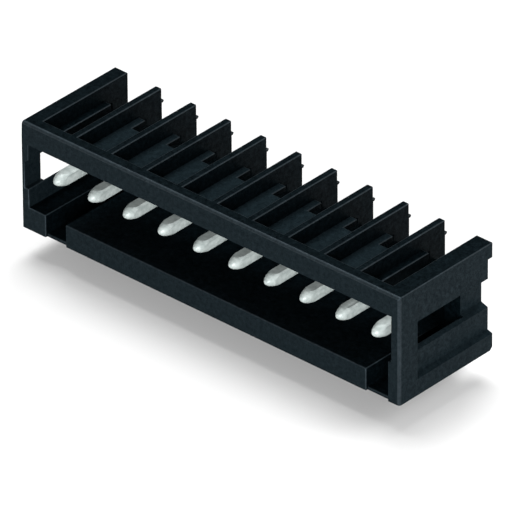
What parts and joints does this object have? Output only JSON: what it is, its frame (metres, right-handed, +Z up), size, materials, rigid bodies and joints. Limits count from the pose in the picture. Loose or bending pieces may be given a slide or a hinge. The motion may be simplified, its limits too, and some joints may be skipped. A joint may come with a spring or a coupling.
{
  "type": "pcb plug connector",
  "caption": "Shrouded right-angle pin header for a circuit board: a black moulded housing with thin fins on top and a row of square tinned pins that a plug slides onto.",
  "frame": {"origin": "on the board's top face, under the middle of the row of solder tails", "axes": "+X along the row of pins, from the first pin to the last; -Y out of the open front, where the plug comes from; +Z up, away from the board"},
  "size_m": [0.0373, 0.0106, 0.0117],
  "materials": {
    "housing_plastic": "bluish black moulded plastic, matt with a faint mottled grain, lighter along its edges",
    "tinned_pin": "satin tin plating over copper alloy"
  },
  "bodies": {
    "root": {"housing": "housing_plastic", "contact_pin_01": "tinned_pin", "contact_pin_02": "tinned_pin", "contact_pin_03": "tinned_pin", "contact_pin_04": "tinned_pin", "contact_pin_05": "tinned_pin", "contact_pin_06": "tinned_pin", "contact_pin_07": "tinned_pin", "contact_pin_08": "tinned_pin", "contact_pin_09": "tinned_pin", "contact_pin_10": "tinned_pin"}
  },
  "joints": []
}
